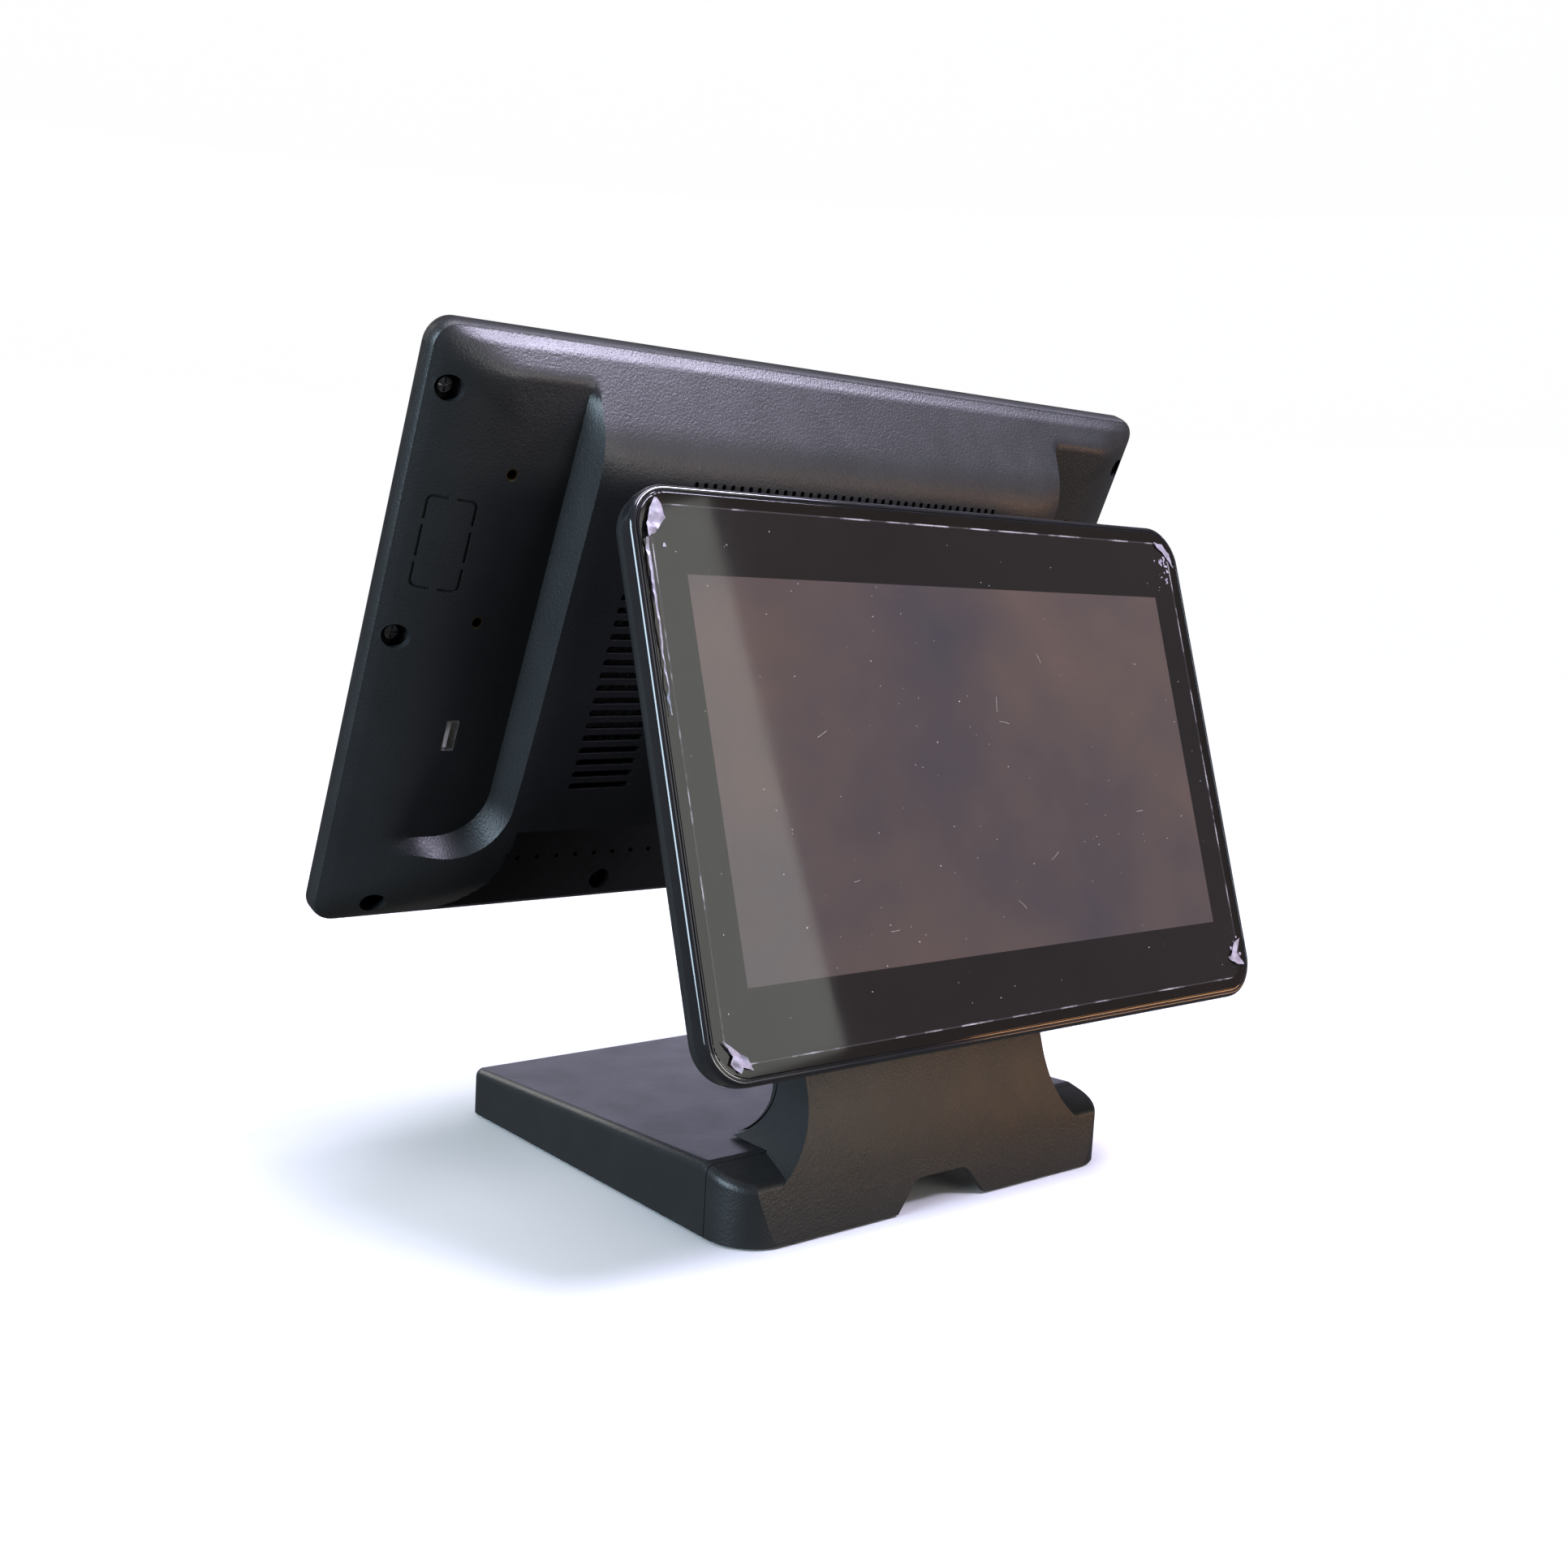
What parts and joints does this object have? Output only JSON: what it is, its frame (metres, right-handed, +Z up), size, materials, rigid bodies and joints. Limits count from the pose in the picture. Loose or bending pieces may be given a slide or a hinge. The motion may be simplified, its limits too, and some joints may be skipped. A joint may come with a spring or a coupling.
{
  "type": "point of sale touchscreen terminal",
  "caption": "Dual-screen point-of-sale terminal: wide operator touchscreen and smaller customer display tilting back to back on a leaning column and weighted wedge base.",
  "frame": {"origin": "on the counter, under the middle of the terminal's own box", "axes": "+Z up, +X along the width of the displays, the operator display faces -Y and the customer display faces +Y"},
  "size_m": [0.3804, 0.2336, 0.3331],
  "materials": {
    "housing_plastic": "fine-textured charcoal moulded ABS",
    "gloss_rim": "piano black",
    "screen_glass": "cover glass with printed black border",
    "panel_module": "unlit LCD module",
    "sheet_steel": "zinc-plated sheet",
    "black_steel": "black powder coat",
    "screw_steel": "black zinc",
    "ground_steel": "ground",
    "rubber": "soft",
    "tape": "foam tape",
    "circuit_board": "green solder mask",
    "port_metal": "stamped shell",
    "port_plastic": "white insulator",
    "black_plastic": "moulded",
    "heat_sink": "extruded",
    "brass": "turned",
    "film": "clear protective film"
  },
  "bodies": {
    "stand": {"base_top_cover": "housing_plastic", "rear_stand_cover": "housing_plastic", "column_front_cover": "housing_plastic", "base_bottom_plate": "black_steel", "ballast_plate": "ground_steel", "rubber_feet": "rubber", "base_screws": "screw_steel", "frame_bolts": "ground_steel", "column_frame": "sheet_steel", "main_hinge_bracket": "black_steel", "bracket_rivets": "ground_steel", "main_hinge_shaft": "ground_steel", "hinge_friction_washers": "ground_steel", "hinge_nuts": "ground_steel", "hinge_barrel_cover": "black_plastic", "customer_hinge_bracket": "black_steel", "customer_hinge_pin": "ground_steel", "pin_clips": "ground_steel", "customer_bracket_sleeve": "black_plastic"},
    "main_display": {"main_bezel": "black_plastic", "main_touch_glass": "screen_glass", "main_glass_tape": "tape", "main_lcd_panel": "panel_module", "main_chassis": "sheet_steel", "machine_screws": "ground_steel", "main_rear_cover": "housing_plastic", "rear_cover_screws": "screw_steel", "accessory_inserts": "brass", "mainboard": "circuit_board", "board_standoffs": "brass", "processor": "black_plastic", "heat_sink": "heat_sink", "memory_module": "circuit_board", "ssd_drive": "heat_sink", "speakers": "black_plastic", "power_inlet": "black_plastic", "lan_jack": "port_metal", "usb_stack": "port_metal", "video_port": "port_metal", "serial_port": "port_metal", "side_usb_shell": "port_metal", "side_usb_tongue": "port_plastic", "side_boards": "circuit_board", "main_hinge_arm": "black_steel", "hinge_posts": "ground_steel", "hinge_arm_screws": "screw_steel", "hinge_shroud": "housing_plastic", "power_switch": "black_plastic"},
    "customer_display": {"customer_rim": "gloss_rim", "customer_glass": "screen_glass", "customer_lcd_panel": "panel_module", "protective_film": "film", "customer_housing": "housing_plastic", "customer_housing_screws": "screw_steel", "customer_driver_board": "circuit_board", "customer_hinge_arm": "black_steel", "customer_arm_screws": "screw_steel", "customer_nut_plate": "sheet_steel"},
    "power_button": {"power_button": "black_plastic"}
  },
  "joints": [
    {"name": "main_tilt", "type": "hinge", "parent": "stand", "child": "main_display", "pos_m": [0, -0.0098, 0.19204], "axis": [-1, 0, 0], "range_deg": [-18, 12]},
    {"name": "customer_tilt", "type": "hinge", "parent": "stand", "child": "customer_display", "pos_m": [0, 0.05619, 0.16504], "axis": [-1, 0, 0], "range_deg": [-6, 12]},
    {"name": "power_press", "type": "slide", "parent": "main_display", "child": "power_button", "axis": [0, -0.9295, 0.3689], "range_m": [0, 0.0012], "stiffness_N_per_m": 500}
  ]
}
